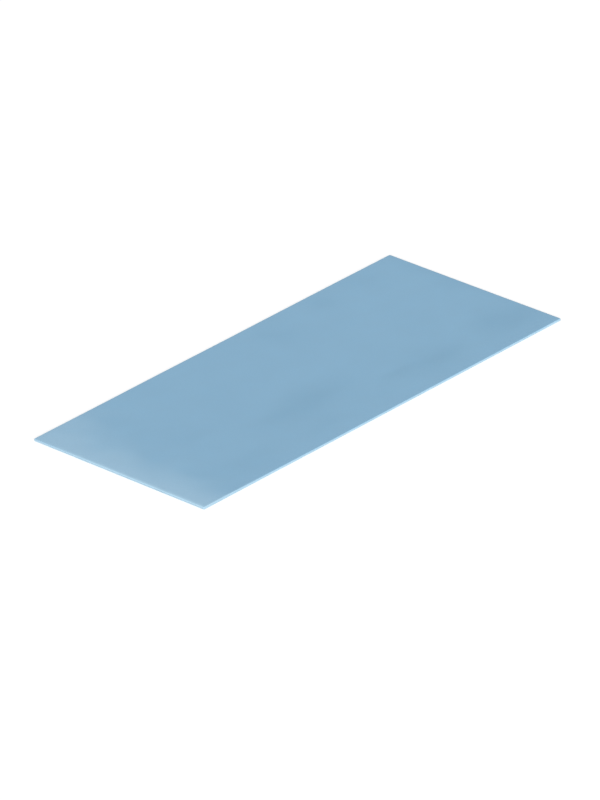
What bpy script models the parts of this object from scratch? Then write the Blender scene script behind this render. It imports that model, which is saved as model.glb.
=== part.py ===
"""Thermal pad sheet: one flat slab of soft silicone rubber packed with ceramic powder, cut to size.

Metres, +Z up. The sheet lies flat on its underside. The origin is the middle of the underside,
+X runs along the sheet and +Y across it.
"""

import bpy

# Driving dimensions, in metres.
SHEET_LENGTH = 0.200
SHEET_WIDTH = 0.100
SHEET_THICKNESS = 0.0010

# The four corners, seen from above, follow the turn of the cutting rule.
CORNER_RADIUS = 0.0004
# The blade drags the soft upper edge in as it enters, and leaves the lower edge crisper.
UPPER_EDGE_RADIUS = 0.00025
LOWER_EDGE_RADIUS = 0.00012

CORNER_SEGMENTS = 6
EDGE_SEGMENTS = 3

# Filled silicone as it looks: pale blue, matt to satin, not metallic. The colour is linear RGB.
PAD_BLUE = (0.246, 0.429, 0.584, 1.0)
PAD_ROUGHNESS = 0.6

PAD_NAME = "pad_sheet"


def clear_scene():
    """Removes every object, so that the script starts from nothing."""
    for old in list(bpy.data.objects):
        bpy.data.objects.remove(old, do_unlink=True)


def silicone_material():
    """The sheet's own plain material."""
    material = bpy.data.materials.new("filled_silicone")
    material.use_nodes = True
    surface = material.node_tree.nodes["Principled BSDF"]
    surface.inputs["Base Color"].default_value = PAD_BLUE
    surface.inputs["Roughness"].default_value = PAD_ROUGHNESS
    surface.inputs["Metallic"].default_value = 0.0
    return material


def add_rounding(sheet, name, radius, segments):
    """A Bevel modifier of that radius, whose edges the caller picks."""
    rounding = sheet.modifiers.new(name, "BEVEL")
    rounding.width = radius
    rounding.segments = segments
    return rounding


def mark_upright_edges(mesh):
    """Gives the box's four upright edges, at its corners, a bevel weight of 1."""
    weights = mesh.attributes.new("bevel_weight_edge", "FLOAT", "EDGE")
    for edge in mesh.edges:
        start, end = (mesh.vertices[i].co for i in edge.vertices)
        upright = abs(start.z - end.z) > SHEET_THICKNESS / 2
        weights.data[edge.index].value = 1.0 if upright else 0.0


def group_rim(sheet, name, at_top):
    """A vertex group of the upper or the lower rim's corners."""
    rim = sheet.vertex_groups.new(name=name)
    corners = [v.index for v in sheet.data.vertices if (v.co.z > 0) == at_top]
    rim.add(corners, 1.0, "REPLACE")


def make_pad_sheet(collection):
    """The sheet: a box with rounded corners, then a softer upper rim and a crisper lower rim."""
    bpy.ops.mesh.primitive_cube_add(size=1, location=(0, 0, SHEET_THICKNESS / 2))
    sheet = bpy.context.active_object
    sheet.name = sheet.data.name = PAD_NAME
    sheet.scale = (SHEET_LENGTH, SHEET_WIDTH, SHEET_THICKNESS)
    bpy.ops.object.transform_apply(location=False, rotation=False, scale=True)

    mark_upright_edges(sheet.data)
    corners = add_rounding(sheet, "corner_rounding", CORNER_RADIUS, CORNER_SEGMENTS)
    corners.limit_method = "WEIGHT"
    for rim, at_top, radius in (
        ("upper_rim", True, UPPER_EDGE_RADIUS),
        ("lower_rim", False, LOWER_EDGE_RADIUS),
    ):
        group_rim(sheet, rim, at_top)
        edge = add_rounding(sheet, rim + "_rounding", radius, EDGE_SEGMENTS)
        edge.limit_method = "VGROUP"
        edge.vertex_group = rim

    sheet.data.materials.append(silicone_material())
    for other in list(sheet.users_collection):
        other.objects.unlink(sheet)
    collection.objects.link(sheet)
    return sheet


def main():
    clear_scene()
    collection = bpy.data.collections.new("thermal_pad_sheet")
    bpy.context.scene.collection.children.link(collection)
    make_pad_sheet(collection)


main()
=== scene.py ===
"""Looks of the thermal pad sheet: a thin, flat slab of pale blue silicone rubber packed with ceramic powder.

The slab is one surface: a face grid on top, rings that go down the cut walls, and a face grid underneath.
All lengths are in metres, in the part's own frame: +X along the sheet, +Y across it, +Z up, z = 0 underneath.
"""

import math

import bpy
import numpy as np
from mathutils import Matrix, Vector


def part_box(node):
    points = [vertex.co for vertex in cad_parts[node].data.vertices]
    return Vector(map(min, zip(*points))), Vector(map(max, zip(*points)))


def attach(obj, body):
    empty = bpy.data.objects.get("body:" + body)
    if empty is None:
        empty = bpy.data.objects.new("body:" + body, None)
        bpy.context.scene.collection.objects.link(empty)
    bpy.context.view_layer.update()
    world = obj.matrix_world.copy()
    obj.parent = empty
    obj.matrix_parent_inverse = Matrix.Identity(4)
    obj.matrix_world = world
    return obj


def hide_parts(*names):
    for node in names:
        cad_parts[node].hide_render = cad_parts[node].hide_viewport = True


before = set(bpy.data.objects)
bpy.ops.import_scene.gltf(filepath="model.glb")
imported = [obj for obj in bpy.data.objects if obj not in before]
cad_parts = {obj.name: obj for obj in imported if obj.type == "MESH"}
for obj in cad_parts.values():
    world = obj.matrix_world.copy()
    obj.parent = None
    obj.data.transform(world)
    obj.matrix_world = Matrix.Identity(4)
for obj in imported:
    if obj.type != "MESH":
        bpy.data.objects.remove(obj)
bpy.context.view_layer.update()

MM = 0.001
PAD_NODE = "pad_sheet"
PAD_PIECE = "dressed_pad_sheet"

# The sheet's own sizes, from the frame.
PAD_LOW, PAD_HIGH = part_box(PAD_NODE)
HALF_LENGTH = (PAD_HIGH.x - PAD_LOW.x) / 2
HALF_WIDTH = (PAD_HIGH.y - PAD_LOW.y) / 2
THICKNESS = PAD_HIGH.z - PAD_LOW.z

# The cut: tight upright corners, a soft upper arris that the blade dragged in, a crisp lower one.
CORNER_RADIUS = 0.4 * MM
UPPER_ARRIS = 0.25 * MM
LOWER_ARRIS = 0.12 * MM
# The wall is a little hollow between its arrises, and wanders as the blade's edge does.
WALL_HOLLOW = 0.03 * MM
WALL_WANDER = 0.025 * MM
# The rolled face is never quite level. It sinks towards each cut, most of all at the -X end.
FACE_SWELL = 0.12 * MM
SIDE_DROP = 0.02 * MM
SIDE_DROP_REACH = 0.7 * MM
LOW_END_DROP = 0.10 * MM
HIGH_END_DROP = 0.08 * MM
END_DROP_REACH = 0.5 * MM
# The blade pulls the face's skin down over the arris, about this far below the face.
SKIN_DRAG = 0.2 * MM

# Points along and across each face, and how strongly they crowd towards the cut edges.
POINTS_ALONG = 221
POINTS_ACROSS = 131
CROWDING = 0.88
# Steps of the grid across each rounded corner's radius: its quarter turn gets twice as many.
CORNER_STEPS = 4
UPPER_ARRIS_STEPS = 5
WALL_STEPS = 8
LOWER_ARRIS_STEPS = 4

# Soft random waves that vary a thing from place to place: shortest and longest wave, how many, and seed.
SWELL_WAVES = (60 * MM, 160 * MM, 8, 2504)
WANDER_WAVES = (4 * MM, 30 * MM, 20, 9)
DRIFT_WAVES = (12 * MM, 30 * MM, 10, 21)
HAZE_WAVES = (18 * MM, 60 * MM, 14, 33)
PAINTED_SHEEN_WAVES = (12 * MM, 40 * MM, 10, 505)
PAINTED_EDGE_HIGHLIGHT_WAVES = (4 * MM, 18 * MM, 12, 71)
SKIN_WAVES = (5 * MM, 25 * MM, 16, 64)
# The most that they lengthen or shorten the reach of the painted sheen, the painted edge highlight and the
# skin, as a share of it.
PAINTED_SHEEN_RAGGEDNESS = 0.3
PAINTED_EDGE_HIGHLIGHT_RAGGEDNESS = 0.2
SKIN_RAGGEDNESS = 0.3

# Colours, as sRGB hex.
FACE_BLUE = "#84AFCC"
FACE_CLOUD = "#7EA9C6"
# The next two are painted highlights: a paler colour for a soft sheen at the -X end, and a paler one still
# for a highlight along the cut.
FACE_PAINTED_SHEEN = "#97BCD5"
FACE_PAINTED_EDGE_HIGHLIGHT = "#ABCEE3"
CUT_BLUE = "#90AEC0"
CUT_SMEAR = "#9DB8C9"
FLOOR_WHITE = "#F7F7F7"

# Darker clouds in the face, where the powder lies denser: middle along and across the sheet, half
# breadths along and across, and strength.
CLOUDS = (
    (-15 * MM, -18 * MM, 20 * MM, 10 * MM, 1.00),
    (46 * MM, -33 * MM, 14 * MM, 9 * MM, 0.90),
    (87 * MM, -32 * MM, 13 * MM, 12 * MM, 1.00),
    (-20 * MM, -37 * MM, 10 * MM, 7 * MM, 0.50),
    (12 * MM, -38 * MM, 9 * MM, 6 * MM, 0.30),
    (28 * MM, -30 * MM, 8 * MM, 6 * MM, 0.65),
    (-60 * MM, -36 * MM, 20 * MM, 8 * MM, 0.35),
    (-60 * MM, -2 * MM, 17 * MM, 6 * MM, 0.30),
    (20 * MM, 36 * MM, 7 * MM, 11 * MM, 0.50),
    (50 * MM, 44 * MM, 6 * MM, 7 * MM, 0.45),
    (75 * MM, 44 * MM, 9 * MM, 7 * MM, 0.35),
    (99 * MM, 10 * MM, 5 * MM, 42 * MM, 0.45),
)
# How far the clouds' outlines drift, and how strong the faint haze between them is on average.
CLOUD_DRIFT = 2.5 * MM
CLOUD_HAZE = 0.10
# Painted sheen along the -X end, a paler colour that stands in for a soft highlight: how far in it
# reaches, at the near and at the far corner, how much fainter it is at the far one, and the power that
# keeps most of that change near the far side.
PAINTED_SHEEN_REACH_NEAR = 12 * MM
PAINTED_SHEEN_REACH_FAR = 24 * MM
PAINTED_SHEEN_WEAKENING = 0.15
PAINTED_SHEEN_TURN = 4
# Right beside the -X cut a painted edge highlight makes the face paler still, this far in. It turns the
# near corner and runs on a little way along the near cut, less far in.
PAINTED_EDGE_HIGHLIGHT_REACH = 0.95 * MM
SIDE_PAINTED_EDGE_HIGHLIGHT_REACH = 0.6 * MM
# Over about this length it dies away along the near cut, and towards the far corner of the -X cut, where
# it loses this share.
PAINTED_EDGE_HIGHLIGHT_FADE = 25 * MM
PAINTED_EDGE_HIGHLIGHT_LOSS = 0.9

# Patterns of the finish. The scale is one over the size of the coarsest step, the detail is how many finer
# steps follow, each half as big as the last, and the roughness is how strong each is against the last.
# The powder is mixed a little unevenly, in patches of about 7 mm.
MOTTLE = {"Scale": 1 / (7 * MM), "Detail": 3.0, "Roughness": 0.55}
# The powder's real grain is 0.05 to 0.2 mm. The pattern starts at 0.9 mm, the finest that shows at the
# photograph's scale, and its finer steps, down to about 0.06 mm, show from closer.
GRAIN = {"Scale": 1 / (0.9 * MM), "Detail": 4.0, "Roughness": 0.75}
# The blade's drag lines are really 0.05 to 0.1 mm apart. They are drawn 0.7 mm apart so that they show.
DRAG_LINES = {"Scale": 1 / (0.7 * MM), "Detail": 3.0, "Roughness": 0.6}
# Loose powder smears along the cut in patches of the same 7 mm.
SMEAR = {"Scale": 1 / (7 * MM), "Detail": 2.0, "Roughness": 0.5}
# Up the wall the drag lines' pattern runs at this share of its pace along it, which draws it out upright.
DRAG_LINE_STRETCH = 0.12
# How far the grain and the drag lines stand up.
GRAIN_HEIGHT = 0.02 * MM
DRAG_LINE_HEIGHT = 0.015 * MM
# How much lighter a pattern makes the colour at its highest than at its lowest.
MOTTLE_CONTRAST = 0.06
GRAIN_CONTRAST = 0.08
DRAG_LINE_CONTRAST = 0.12
# A pattern's values stay mostly in this span, which is spread over the three ranges after it.
PATTERN_SPAN = {"From Min": 0.3, "From Max": 0.7}
FACE_ROUGHNESS = {"To Min": 0.52, "To Max": 0.6}
CUT_ROUGHNESS = {"To Min": 0.62, "To Max": 0.78}
SMEAR_COVER = {"To Min": 0.2, "To Max": 1.0}
SILICONE_IOR = 1.43
TABLE_ROUGHNESS = 0.9

# A colour Mix node's sockets, by number: its share, its two colours, and the colour that comes out.
MIX_SHARE, MIX_FROM, MIX_TO, MIX_OUT = 0, 6, 7, 2

# Camera: the photograph's viewing angle, from a long lens, which alone is in millimetres. The roll tips
# the picture, not the sheet.
CAMERA_AZIMUTH = math.radians(-40.88)
CAMERA_ELEVATION = math.radians(26.97)
CAMERA_ROLL = math.radians(-6.30)
CAMERA_DISTANCE = 4.0
CAMERA_LENS = 446.3
CAMERA_CLIP = (0.1, 100.0)
# How far the picture's middle lies to the right of the sheet's underside's middle, and below it.
CAMERA_ASIDE = 0.00035
CAMERA_BELOW = 0.00798

# Light, as the brightness that a white surface facing it would show. The direction points to the key.
KEY_LIGHT = 1.0
KEY_DIRECTION = (-0.58, -0.735, 0.35)
KEY_SPREAD = math.radians(45)
ROOM_LIGHT = 0.62
TABLE_GLOW = 0.16
# The table lies a hair under the sheet, so that their surfaces don't coincide.
TABLE_DROP = 0.01 * MM
TABLE_HALF_SIDE = 40.0


def linear(colour):
    """An sRGB hex colour as linear red, green, blue and alpha."""
    shares = [int(colour[i : i + 2], 16) / 255 for i in (1, 3, 5)]
    return [c / 12.92 if c <= 0.04045 else ((c + 0.055) / 1.055) ** 2.4 for c in shares] + [1.0]


def crowded(half, count):
    """Count places from -half to half that crowd towards both ends.

    With t running evenly from -1 to 1, a place is half times a blend of t and the sine of t quarter turns.
    """
    t = np.linspace(-1.0, 1.0, count)
    return half * ((1.0 - CROWDING) * t + CROWDING * np.sin(t * math.pi / 2))


def grid_places(inner, radius, count):
    """Count places along one axis of a face: even steps across each corner's radius, crowded ones between."""
    corner = radius * np.arange(1, CORNER_STEPS + 1) / CORNER_STEPS
    return np.concatenate((-inner - corner[::-1], crowded(inner, count - 2 * CORNER_STEPS), inner + corner))


def soft_waves(x, y, shortest, longest, count, seed):
    """A smooth random surface between -1 and 1, over the places x, y.

    It is the sum of count sine waves with random directions and phases, and wavelengths between the two
    given, longer ones being higher, drawn together by a hyperbolic tangent.
    """
    random = np.random.default_rng(seed)
    length = shortest * (longest / shortest) ** random.random(count)
    turn = random.random(count) * 2 * math.pi
    phase = random.random(count) * 2 * math.pi
    height = np.sqrt(length / longest)
    along = np.multiply.outer(x, np.cos(turn) / length) + np.multiply.outer(y, np.sin(turn) / length)
    total = (height * np.sin(2 * math.pi * along + phase)).sum(axis=-1)
    return np.tanh(total / np.sqrt((height**2).sum()))


def bell(distance, reach):
    """A bell curve: the exponential of minus the square of the distance over the reach."""
    return np.exp(-((distance / reach) ** 2))


def rounded_grid(inset):
    """A face's points: a crowded grid, inset from the sheet's outline, with its four corners rounded.

    In each corner square, of the corner's radius, a point at the shares a and b of the radius moves to a
    times the root of 1 - b*b/2, and b times the root of 1 - a*a/2, which turns the square into a quarter
    disc and leaves its inner sides alone.
    """
    radius = CORNER_RADIUS - inset
    inner_x, inner_y = HALF_LENGTH - CORNER_RADIUS, HALF_WIDTH - CORNER_RADIUS
    x, y = np.meshgrid(
        grid_places(inner_x, radius, POINTS_ALONG), grid_places(inner_y, radius, POINTS_ACROSS), indexing="ij"
    )
    a = np.clip((np.abs(x) - inner_x) / radius, 0.0, 1.0)
    b = np.clip((np.abs(y) - inner_y) / radius, 0.0, 1.0)
    x = np.sign(x) * (np.minimum(np.abs(x), inner_x) + radius * a * np.sqrt(1 - b * b / 2))
    y = np.sign(y) * (np.minimum(np.abs(y), inner_y) + radius * b * np.sqrt(1 - a * a / 2))
    return x, y


def face_height(x, y):
    """The upper face's height: the thickness, less a soft swell, less a shoulder that sinks towards each cut.

    Each shoulder is its drop at the cut, times the exponential of minus the distance from it over its reach.
    """
    swell = FACE_SWELL * (1 + soft_waves(x, y, *SWELL_WAVES)) / 2
    sides = SIDE_DROP * np.exp((np.abs(y) - HALF_WIDTH) / SIDE_DROP_REACH)
    low_end = LOW_END_DROP * np.exp((-x - HALF_LENGTH) / END_DROP_REACH)
    high_end = HIGH_END_DROP * np.exp((x - HALF_LENGTH) / END_DROP_REACH)
    return THICKNESS - swell - sides - low_end - high_end


def rim_loop():
    """Rows and columns of the grid's rim, counter-clockwise seen from above, from the -X -Y corner."""
    last_i, last_j = POINTS_ALONG - 1, POINTS_ACROSS - 1
    rows = [np.arange(last_i), np.full(last_j, last_i), np.arange(last_i, 0, -1), np.zeros(last_j, int)]
    columns = [np.zeros(last_i, int), np.arange(last_j), np.full(last_i, last_j), np.arange(last_j, 0, -1)]
    return np.concatenate(rows), np.concatenate(columns)


def wall_profile():
    """The cut wall in section, from the upper face to the lower: insets from the outline and share of height.

    A quarter circle for the upper arris, a hollow that follows half a sine wave down the wall, and a
    quarter circle for the lower arris. The two ends, which belong to the faces, are left out.
    """
    upper = np.linspace(0.0, math.pi / 2, UPPER_ARRIS_STEPS + 1)[1:]
    down = np.linspace(0.0, 1.0, WALL_STEPS + 1)[1:-1]
    lower = np.linspace(0.0, math.pi / 2, LOWER_ARRIS_STEPS + 1)[:-1]
    straight = THICKNESS - UPPER_ARRIS - LOWER_ARRIS
    inset = np.concatenate(
        (
            UPPER_ARRIS * (1 - np.sin(upper)),
            WALL_HOLLOW * np.sin(down * math.pi),
            LOWER_ARRIS * (1 - np.cos(lower)),
        )
    )
    height = np.concatenate(
        (
            THICKNESS - UPPER_ARRIS * (1 - np.cos(upper)),
            THICKNESS - UPPER_ARRIS - straight * down,
            LOWER_ARRIS * (1 - np.sin(lower)),
        )
    )
    return inset, height / THICKNESS


def wall_rings(rim_x, rim_y):
    """The rings of points that carry the wall's section round the outline.

    Each rim point lies straight out from a place on the inner rectangle, whose corners are the centres of
    the rounded corners. A ring's point is that place, plus the outward direction times the corner radius
    less the section's inset and the blade's wander, which is a smooth random wave along the sheet's sides.
    Its height is the section's share of the face's height there, so that the shoulder runs on into the cut.
    """
    core_x = np.clip(rim_x, CORNER_RADIUS - HALF_LENGTH, HALF_LENGTH - CORNER_RADIUS)
    core_y = np.clip(rim_y, CORNER_RADIUS - HALF_WIDTH, HALF_WIDTH - CORNER_RADIUS)
    out_x, out_y = rim_x - core_x, rim_y - core_y
    reach = np.hypot(out_x, out_y)
    out_x, out_y = out_x / reach, out_y / reach
    inset, share = wall_profile()
    # The wander fades out at the two faces, whose rims are true.
    fade = np.sin(np.linspace(0.0, math.pi, len(inset) + 2)[1:-1])
    wander = WALL_WANDER * (1 + soft_waves(rim_x, rim_y, *WANDER_WAVES)) / 2
    out = CORNER_RADIUS - inset[:, None] - fade[:, None] * wander
    x = core_x + out_x * out
    y = core_y + out_y * out
    return x, y, share[:, None] * face_height(x, y)


def grid_faces(ids):
    """Four corners of each cell of a grid of point numbers, counter-clockwise seen from above."""
    return np.stack((ids[:-1, :-1], ids[1:, :-1], ids[1:, 1:], ids[:-1, 1:]), axis=-1).reshape(-1, 4)


def ring_faces(upper, lower):
    """Four corners of each cell between two rings of point numbers, facing outwards."""
    return np.stack((lower, np.roll(lower, -1), np.roll(upper, -1), upper), axis=-1)


def clouding(x, y):
    """How much denser the powder lies, from 0 to 1.

    It is a faint haze of soft waves, plus the clouds. A cloud is its strength times a bell curve along the
    sheet and one across it, each of the distance from its middle over its half breadth, at places that soft
    waves have shifted.
    """
    drift = CLOUD_DRIFT * soft_waves(x, y, *DRIFT_WAVES)
    total = CLOUD_HAZE * (1 + soft_waves(x, y, *HAZE_WAVES))
    for middle_x, middle_y, half_x, half_y, strength in CLOUDS:
        total = total + strength * bell(x + drift - middle_x, half_x) * bell(y - drift - middle_y, half_y)
    return np.clip(total, 0.0, 1.0)


def painted_sheen(x, y):
    """How strongly the painted sheen, a paler colour that stands in for a soft highlight, lies at the -X end,
    from 0 to 1.

    It falls off as a bell curve of the distance from that end over its reach. With a power of the way
    across, from the near corner to the far one, the reach grows and the sheen weakens.
    """
    across = np.clip((y + HALF_WIDTH) / (2 * HALF_WIDTH), 0.0, 1.0) ** PAINTED_SHEEN_TURN
    reach = PAINTED_SHEEN_REACH_NEAR + (PAINTED_SHEEN_REACH_FAR - PAINTED_SHEEN_REACH_NEAR) * across
    reach = reach * (1 + PAINTED_SHEEN_RAGGEDNESS * soft_waves(x, y, *PAINTED_SHEEN_WAVES))
    return (1 - PAINTED_SHEEN_WEAKENING * across) * bell(np.clip(x + HALF_LENGTH, 0.0, None), reach)


def painted_edge_highlight(x, y):
    """How strongly the painted edge highlight pales the face along the -X cut, and along the near cut beside
    it, from 0 to 1.

    Each falls off as a bell curve of the distance from its cut over its reach, which a smooth random wave
    along the cut makes longer and shorter. With the fade as its length, the near one also falls off as a
    bell curve of the distance from the -X end, and the end one loses up to its loss by a bell curve of the
    distance from the far side. The stronger of the two counts.
    """
    from_end, from_near, from_far = x + HALF_LENGTH, y + HALF_WIDTH, HALF_WIDTH - y
    longer = 1 + PAINTED_EDGE_HIGHLIGHT_RAGGEDNESS * soft_waves(x, y, *PAINTED_EDGE_HIGHLIGHT_WAVES)
    end = bell(from_end, PAINTED_EDGE_HIGHLIGHT_REACH * longer) * (1 - PAINTED_EDGE_HIGHLIGHT_LOSS * bell(from_far, PAINTED_EDGE_HIGHLIGHT_FADE))
    near = bell(from_near, SIDE_PAINTED_EDGE_HIGHLIGHT_REACH * longer) * bell(from_end, PAINTED_EDGE_HIGHLIGHT_FADE)
    return np.maximum(end, near)


def dragged_skin(x, y, depth):
    """How much of the face's own blue is left on the cut, from 1 at the face down to 0.

    It falls as half a cosine wave with the depth below the face, down to the skin's drag, which a smooth
    random wave along the cut makes longer and shorter.
    """
    drag = SKIN_DRAG * (1 + SKIN_RAGGEDNESS * soft_waves(x, y, *SKIN_WAVES))
    return (1 + np.cos(np.clip(depth / drag, 0.0, 1.0) * math.pi)) / 2


def make_pad():
    """The whole sheet as one closed surface: upper face, wall rings, lower face."""
    rows, columns = rim_loop()
    top_x, top_y = rounded_grid(UPPER_ARRIS)
    top_z = face_height(top_x, top_y)
    under_x, under_y = rounded_grid(LOWER_ARRIS)
    wall_x, wall_y, wall_z = wall_rings(top_x[rows, columns], top_y[rows, columns])

    x = np.concatenate((top_x.ravel(), wall_x.ravel(), under_x.ravel()))
    y = np.concatenate((top_y.ravel(), wall_y.ravel(), under_y.ravel()))
    z = np.concatenate((top_z.ravel(), wall_z.ravel(), np.zeros(under_x.size)))

    top_grid = np.arange(top_x.size).reshape(top_x.shape)
    inner_rings = top_x.size + np.arange(wall_x.size).reshape(wall_x.shape)
    under_grid = top_x.size + wall_x.size + np.arange(under_x.size).reshape(under_x.shape)
    rings = [top_grid[rows, columns], *inner_rings, under_grid[rows, columns]]

    top = grid_faces(top_grid)
    wall = np.concatenate([ring_faces(a, b) for a, b in zip(rings[:-1], rings[1:])])
    under = grid_faces(under_grid)[:, ::-1]
    is_cut = np.repeat((0, 1, 0), (len(top), len(wall), len(under)))

    mesh = bpy.data.meshes.new(PAD_PIECE)
    mesh.from_pydata(np.column_stack((x, y, z)), [], np.concatenate((top, wall, under)))
    mesh.polygons.foreach_set("material_index", is_cut)
    mesh.shade_smooth()
    shades = {
        "clouding": clouding(x, y),
        # The painted sheen and the painted edge highlight are kept as shares of their paler colours.
        "painted_sheen": painted_sheen(x, y),
        "painted_edge_highlight": painted_edge_highlight(x, y),
        "skin": dragged_skin(x, y, face_height(x, y) - z),
    }
    for name, values in shades.items():
        attribute = mesh.attributes.new(name, "FLOAT", "POINT")
        attribute.data.foreach_set("value", values.astype(np.float32))
    mesh.materials.append(rolled_filled_silicone())
    mesh.materials.append(die_cut_filled_silicone())
    mesh.validate()
    pad = bpy.data.objects.new(PAD_PIECE, mesh)
    bpy.context.scene.collection.objects.link(pad)
    return pad


def add_node(tree, kind, inputs=None, **settings):
    """Adds a node with its settings, and gives each named or numbered input a value or a link."""
    node = tree.nodes.new(kind)
    for name, value in settings.items():
        setattr(node, name, value)
    for socket, value in (inputs or {}).items():
        if isinstance(value, bpy.types.NodeSocket):
            tree.links.new(value, node.inputs[socket])
        else:
            node.inputs[socket].default_value = value
    return node


def new_material(name):
    """An empty node material, and its tree."""
    material = bpy.data.materials.new(name)
    material.use_nodes = True
    material.node_tree.nodes.clear()
    return material, material.node_tree


def face_colour(tree):
    """The rolled face's own blue, darker in the clouds, and paler under the painted sheen and then the
    painted edge highlight.
    """
    colour = linear(FACE_BLUE)
    for shade, tint in (("clouding", FACE_CLOUD), ("painted_sheen", FACE_PAINTED_SHEEN), ("painted_edge_highlight", FACE_PAINTED_EDGE_HIGHLIGHT)):
        share = add_node(tree, "ShaderNodeAttribute", attribute_name=shade).outputs["Fac"]
        mixed = {MIX_SHARE: share, MIX_FROM: colour, MIX_TO: linear(tint)}
        colour = add_node(tree, "ShaderNodeMix", mixed, data_type="RGBA").outputs[MIX_OUT]
    return colour


def toned(tree, colour, *patterns):
    """The colour times a tone, which is 1 plus each pattern's contrast times what it has above a half."""
    tone = 1 - sum(contrast for _, contrast in patterns) / 2
    for pattern, contrast in patterns:
        terms = {0: pattern, 1: contrast, 2: tone}
        tone = add_node(tree, "ShaderNodeMath", terms, operation="MULTIPLY_ADD").outputs[0]
    return add_node(tree, "ShaderNodeVectorMath", {0: colour, "Scale": tone}, operation="SCALE").outputs[0]


def finish_silicone(tree, colour, roughness, pattern, height):
    """The rubber itself, in that colour and roughness, with a relief that rises with the pattern."""
    relief = add_node(tree, "ShaderNodeBump", {"Height": pattern, "Distance": height, "Strength": 1.0})
    surface = add_node(
        tree,
        "ShaderNodeBsdfPrincipled",
        {"Base Color": colour, "Roughness": roughness, "IOR": SILICONE_IOR, "Normal": relief.outputs[0]},
    )
    add_node(tree, "ShaderNodeOutputMaterial", {"Surface": surface.outputs[0]})


def rolled_filled_silicone():
    """Silicone gap filler as it leaves the rolls, under its release film.

    Pale blue rubber packed with alumina powder: satin and not glossy, with a skin as fine as the film that
    lay on it. The eye sees a soft, even blue with faint clouds and a fine grain, and at one end a painted
    sheen, a paler colour for a soft highlight, that ends in a paler painted highlight along the cut.
    """
    material, tree = new_material("rolled_filled_silicone")
    place = add_node(tree, "ShaderNodeTexCoord").outputs["Object"]
    mottle = add_node(tree, "ShaderNodeTexNoise", {"Vector": place, **MOTTLE}).outputs["Fac"]
    grain = add_node(tree, "ShaderNodeTexNoise", {"Vector": place, **GRAIN}).outputs["Fac"]
    colour = toned(tree, face_colour(tree), (mottle, MOTTLE_CONTRAST), (grain, GRAIN_CONTRAST))
    satin = {"Value": mottle, **PATTERN_SPAN, **FACE_ROUGHNESS}
    roughness = add_node(tree, "ShaderNodeMapRange", satin).outputs[0]
    finish_silicone(tree, colour, roughness, grain, GRAIN_HEIGHT)
    return material


def die_cut_filled_silicone():
    """The same rubber where a steel rule cut through it.

    The blade tears the powder loose and smears it down the wall, so the cut is greyer and more matt than
    the face, with fine upright drag lines. The face's skin, pulled over the arris, keeps its top edge soft.
    """
    material, tree = new_material("die_cut_filled_silicone")
    place = add_node(tree, "ShaderNodeTexCoord").outputs["Object"]
    skin = add_node(tree, "ShaderNodeAttribute", attribute_name="skin").outputs["Fac"]
    stretch = {"Vector": place, "Scale": (1.0, 1.0, DRAG_LINE_STRETCH)}
    upright = add_node(tree, "ShaderNodeMapping", stretch).outputs[0]
    drag = add_node(tree, "ShaderNodeTexNoise", {"Vector": upright, **DRAG_LINES}).outputs["Fac"]
    smear = add_node(tree, "ShaderNodeTexNoise", {"Vector": place, **SMEAR}).outputs["Fac"]
    cover = {"Value": smear, **PATTERN_SPAN, **SMEAR_COVER}
    smeared = add_node(tree, "ShaderNodeMapRange", cover).outputs[0]
    bare = {MIX_SHARE: smeared, MIX_FROM: linear(CUT_BLUE), MIX_TO: linear(CUT_SMEAR)}
    bared = add_node(tree, "ShaderNodeMix", bare, data_type="RGBA").outputs[MIX_OUT]
    # The skin brings the face's colour, with its painted sheen and painted edge highlight, onto the top of
    # the cut.
    skinned = {MIX_SHARE: skin, MIX_FROM: bared, MIX_TO: face_colour(tree)}
    colour = add_node(tree, "ShaderNodeMix", skinned, data_type="RGBA").outputs[MIX_OUT]
    colour = toned(tree, colour, (drag, DRAG_LINE_CONTRAST))
    matt = {"Value": drag, **PATTERN_SPAN, **CUT_ROUGHNESS}
    roughness = add_node(tree, "ShaderNodeMapRange", matt).outputs[0]
    finish_silicone(tree, colour, roughness, drag, DRAG_LINE_HEIGHT)
    return material


def white_table():
    """Matt white acrylic, lit a little from below as a light table is, so that it shows pure white."""
    material, tree = new_material("white_table")
    surface = add_node(
        tree,
        "ShaderNodeBsdfPrincipled",
        {
            "Base Color": linear(FLOOR_WHITE),
            "Roughness": TABLE_ROUGHNESS,
            "Specular IOR Level": 0.0,
            "Emission Color": linear(FLOOR_WHITE),
            "Emission Strength": TABLE_GLOW,
        },
    )
    add_node(tree, "ShaderNodeOutputMaterial", {"Surface": surface.outputs[0]})
    return material


def make_table():
    """The plain pale floor."""
    half, z = TABLE_HALF_SIDE, PAD_LOW.z - TABLE_DROP
    corners = [(-half, -half, z), (half, -half, z), (half, half, z), (-half, half, z)]
    mesh = bpy.data.meshes.new("table")
    mesh.from_pydata(corners, [], [(0, 1, 2, 3)])
    mesh.materials.append(white_table())
    table = bpy.data.objects.new("table", mesh)
    bpy.context.scene.collection.objects.link(table)
    return table


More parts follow.
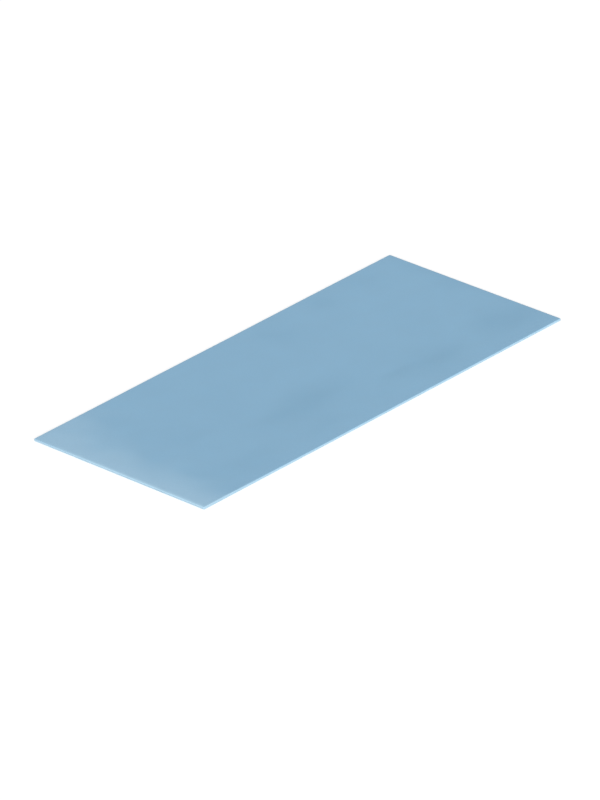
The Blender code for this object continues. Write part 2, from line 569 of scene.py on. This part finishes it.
def light_scene():
    """A big soft key from the near side, and an even pale room whose walls show white."""
    key = bpy.data.lights.new("key", "SUN")
    key.energy = KEY_LIGHT * math.pi
    key.angle = KEY_SPREAD
    key_object = bpy.data.objects.new("key", key)
    key_object.rotation_mode = "QUATERNION"
    key_object.rotation_quaternion = Vector(KEY_DIRECTION).to_track_quat("Z", "Y")
    bpy.context.scene.collection.objects.link(key_object)

    world = bpy.data.worlds.new("pale_room")
    world.use_nodes = True
    tree = world.node_tree
    tree.nodes.clear()
    seen = add_node(tree, "ShaderNodeLightPath").outputs["Is Camera Ray"]
    lit_or_seen = {"Value": seen, "To Min": ROOM_LIGHT, "To Max": 1.0}
    strength = add_node(tree, "ShaderNodeMapRange", lit_or_seen).outputs[0]
    room = add_node(tree, "ShaderNodeBackground", {"Color": (1.0, 1.0, 1.0, 1.0), "Strength": strength})
    add_node(tree, "ShaderNodeOutputWorld", {"Surface": room.outputs[0]})
    bpy.context.scene.world = world


def place_camera():
    """The camera at the photograph's viewing angle.

    It goes round the sheet, then up, and is then rolled about its own axis.
    """
    a, e, r = CAMERA_AZIMUTH, CAMERA_ELEVATION, CAMERA_ROLL
    back = Vector((math.sin(a) * math.cos(e), -math.cos(a) * math.cos(e), math.sin(e)))
    level_right = Vector((math.cos(a), math.sin(a), 0.0))
    level_up = back.cross(level_right)
    right = math.cos(r) * level_right + math.sin(r) * level_up
    up = math.cos(r) * level_up - math.sin(r) * level_right
    under_middle = Vector((0.0, 0.0, PAD_LOW.z))
    camera = bpy.data.cameras.new("camera")
    camera.lens = CAMERA_LENS
    camera.clip_start, camera.clip_end = CAMERA_CLIP
    camera_object = bpy.data.objects.new("camera", camera)
    place = under_middle + CAMERA_DISTANCE * back + CAMERA_ASIDE * right - CAMERA_BELOW * up
    camera_object.matrix_world = Matrix.Translation(place) @ Matrix((right, up, back)).transposed().to_4x4()
    bpy.context.scene.collection.objects.link(camera_object)
    bpy.context.scene.camera = camera_object


pad = make_pad()
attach(pad, "root")
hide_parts(PAD_NODE)
make_table()
light_scene()
place_camera()
# The sheet's colours were matched under the plain display curve.
bpy.context.scene.view_settings.view_transform = "Standard"
